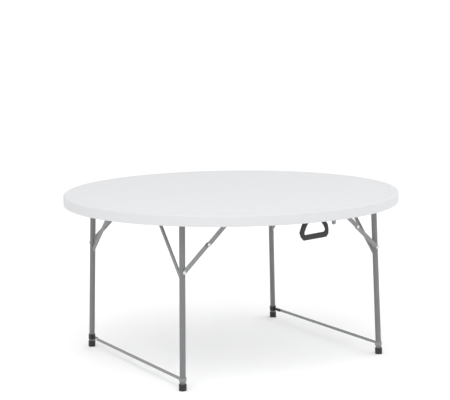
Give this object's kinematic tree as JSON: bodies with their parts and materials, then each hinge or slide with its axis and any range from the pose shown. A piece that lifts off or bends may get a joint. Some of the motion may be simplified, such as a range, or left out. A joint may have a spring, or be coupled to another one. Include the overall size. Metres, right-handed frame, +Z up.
{
  "type": "folding picnic table",
  "caption": "Round white plastic picnic table that folds in half, with grey tube legs on folding braces, low crossbars, a carry handle and a latch.",
  "frame": {"origin": "on the floor under the centre of the tabletop", "axes": "+X along the seam where the top folds, -Y towards the handle side, +Z up"},
  "size_m": [1.5, 1.5, 0.74],
  "materials": {
    "tabletop": "fine pebbled moulded plastic",
    "leg_paint": "grey powder coat",
    "brace_steel": "satin light grey",
    "bright_steel": "bright zinc",
    "black_plastic": "moulded"
  },
  "bodies": {
    "top_near": {"tabletop_half_near": "tabletop", "hinge_leaf_near_1": "bright_steel", "hinge_leaf_near_2": "bright_steel", "hinge_pin_1": "bright_steel", "hinge_pin_2": "bright_steel", "handle_mount": "black_plastic", "latch_mount": "brace_steel", "pivot_saddle_left_near_1": "leg_paint", "pivot_saddle_left_near_2": "leg_paint", "brace_bracket_left_near": "leg_paint", "pivot_saddle_right_near_1": "leg_paint", "pivot_saddle_right_near_2": "leg_paint", "brace_bracket_right_near": "leg_paint"},
    "top_far": {"tabletop_half_far": "tabletop", "hinge_leaf_far_1": "bright_steel", "hinge_leaf_far_2": "bright_steel", "pivot_saddle_left_far_1": "leg_paint", "pivot_saddle_left_far_2": "leg_paint", "brace_bracket_left_far": "leg_paint", "pivot_saddle_right_far_1": "leg_paint", "pivot_saddle_right_far_2": "leg_paint", "brace_bracket_right_far": "leg_paint"},
    "leg_left_far": {"leg_tube_left_far": "leg_paint", "pivot_tube_left_far": "leg_paint", "corner_brace_left_far": "brace_steel", "foot_cap_left_far": "black_plastic", "brace_bolt_left_far": "bright_steel", "crossbar_tab_left": "black_plastic"},
    "lower_link_body_left_far": {"lower_link_left_far": "brace_steel"},
    "upper_link_body_left_far": {"upper_link_left_far": "brace_steel", "knee_rivet_left_far": "bright_steel"},
    "leg_left_near": {"leg_tube_left_near": "leg_paint", "pivot_tube_left_near": "leg_paint", "corner_brace_left_near": "brace_steel", "foot_cap_left_near": "black_plastic", "brace_bolt_left_near": "bright_steel"},
    "lower_link_body_left_near": {"lower_link_left_near": "brace_steel"},
    "upper_link_body_left_near": {"upper_link_left_near": "brace_steel", "knee_rivet_left_near": "bright_steel"},
    "leg_right_far": {"leg_tube_right_far": "leg_paint", "pivot_tube_right_far": "leg_paint", "corner_brace_right_far": "brace_steel", "foot_cap_right_far": "black_plastic", "brace_bolt_right_far": "bright_steel", "crossbar_tab_right": "black_plastic"},
    "lower_link_body_right_far": {"lower_link_right_far": "brace_steel"},
    "upper_link_body_right_far": {"upper_link_right_far": "brace_steel", "knee_rivet_right_far": "bright_steel"},
    "leg_right_near": {"leg_tube_right_near": "leg_paint", "pivot_tube_right_near": "leg_paint", "corner_brace_right_near": "brace_steel", "foot_cap_right_near": "black_plastic", "brace_bolt_right_near": "bright_steel"},
    "lower_link_body_right_near": {"lower_link_right_near": "brace_steel"},
    "upper_link_body_right_near": {"upper_link_right_near": "brace_steel", "knee_rivet_right_near": "bright_steel"},
    "crossbar_body_left": {"crossbar_left": "brace_steel"},
    "crossbar_body_right": {"crossbar_right": "brace_steel"},
    "handle": {"handle": "black_plastic"},
    "latch": {"latch": "brace_steel"}
  },
  "joints": [
    {"name": "top_fold", "type": "hinge", "parent": "top_near", "child": "top_far", "pos_m": [0, 0, 0.69], "axis": [-1, 0, 0], "range_deg": [0, 55]},
    {"name": "leg_fold_left_far", "type": "hinge", "parent": "top_far", "child": "leg_left_far", "pos_m": [-0.4877, 0.4127, 0.705], "axis": [0, -1, 0], "range_deg": [0, 89.5]},
    {"name": "lower_link_turn_left_far", "type": "hinge", "parent": "leg_left_far", "child": "lower_link_body_left_far", "pos_m": [-0.494, 0.4325, 0.489], "axis": [0, -1, 0], "range_deg": [0, 48.61]},
    {"name": "upper_link_turn_left_far", "type": "hinge", "parent": "top_far", "child": "upper_link_body_left_far", "pos_m": [-0.266, 0.439, 0.697], "axis": [0, -1, 0], "range_deg": [-42.92, 0]},
    {"name": "leg_fold_left_near", "type": "hinge", "parent": "top_near", "child": "leg_left_near", "pos_m": [-0.4877, -0.4127, 0.705], "axis": [0, -1, 0], "range_deg": [0, 89.5]},
    {"name": "lower_link_turn_left_near", "type": "hinge", "parent": "leg_left_near", "child": "lower_link_body_left_near", "pos_m": [-0.494, -0.4325, 0.489], "axis": [0, -1, 0], "range_deg": [0, 48.61]},
    {"name": "upper_link_turn_left_near", "type": "hinge", "parent": "top_near", "child": "upper_link_body_left_near", "pos_m": [-0.266, -0.439, 0.697], "axis": [0, -1, 0], "range_deg": [-42.92, 0]},
    {"name": "leg_fold_right_far", "type": "hinge", "parent": "top_far", "child": "leg_right_far", "pos_m": [0.4877, 0.4127, 0.705], "axis": [0, 1, 0], "range_deg": [0, 78]},
    {"name": "lower_link_turn_right_far", "type": "hinge", "parent": "leg_right_far", "child": "lower_link_body_right_far", "pos_m": [0.494, 0.4325, 0.489], "axis": [0, 1, 0], "range_deg": [0, 42.42]},
    {"name": "upper_link_turn_right_far", "type": "hinge", "parent": "top_far", "child": "upper_link_body_right_far", "pos_m": [0.266, 0.439, 0.697], "axis": [0, 1, 0], "range_deg": [-37.47, 0]},
    {"name": "leg_fold_right_near", "type": "hinge", "parent": "top_near", "child": "leg_right_near", "pos_m": [0.4877, -0.4127, 0.705], "axis": [0, 1, 0], "range_deg": [0, 78]},
    {"name": "lower_link_turn_right_near", "type": "hinge", "parent": "leg_right_near", "child": "lower_link_body_right_near", "pos_m": [0.494, -0.4325, 0.489], "axis": [0, 1, 0], "range_deg": [0, 42.42]},
    {"name": "upper_link_turn_right_near", "type": "hinge", "parent": "top_near", "child": "upper_link_body_right_near", "pos_m": [0.266, -0.439, 0.697], "axis": [0, 1, 0], "range_deg": [-37.47, 0]},
    {"name": "crossbar_swing_left", "type": "hinge", "parent": "leg_left_near", "child": "crossbar_body_left", "pos_m": [-0.50705, -0.42775, 0.046], "axis": [0.0293, 0.0228, 0.9993], "range_deg": [0, 55]},
    {"name": "crossbar_swing_right", "type": "hinge", "parent": "leg_right_near", "child": "crossbar_body_right", "pos_m": [0.50705, -0.42775, 0.046], "axis": [0.0293, -0.0228, -0.9993], "range_deg": [0, 55]},
    {"name": "handle_swing", "type": "hinge", "parent": "top_near", "child": "handle", "pos_m": [-0.045, -0.709, 0.703], "axis": [1, 0, 0], "range_deg": [-10, 80]},
    {"name": "latch_swing", "type": "hinge", "parent": "top_near", "child": "latch", "pos_m": [0.051, -0.709, 0.703], "axis": [1, 0, 0], "range_deg": [-10, 80]}
  ],
  "couplings": [
    {"joint": "leg_fold_left_far", "follows": "leg_fold_left_near", "ratio": 1},
    {"joint": "lower_link_turn_left_far", "follows": "leg_fold_left_near", "ratio": 0.5375},
    {"joint": "upper_link_turn_left_far", "follows": "leg_fold_left_near", "ratio": -0.474},
    {"joint": "lower_link_turn_left_near", "follows": "leg_fold_left_near", "ratio": 0.5375},
    {"joint": "upper_link_turn_left_near", "follows": "leg_fold_left_near", "ratio": -0.474},
    {"joint": "leg_fold_right_far", "follows": "leg_fold_right_near", "ratio": 1},
    {"joint": "lower_link_turn_right_far", "follows": "leg_fold_right_near", "ratio": 0.5375},
    {"joint": "upper_link_turn_right_far", "follows": "leg_fold_right_near", "ratio": -0.474},
    {"joint": "lower_link_turn_right_near", "follows": "leg_fold_right_near", "ratio": 0.5375},
    {"joint": "upper_link_turn_right_near", "follows": "leg_fold_right_near", "ratio": -0.474},
    {"joint": "crossbar_swing_left", "follows": "top_fold", "ratio": 1},
    {"joint": "crossbar_swing_right", "follows": "top_fold", "ratio": 1}
  ]
}
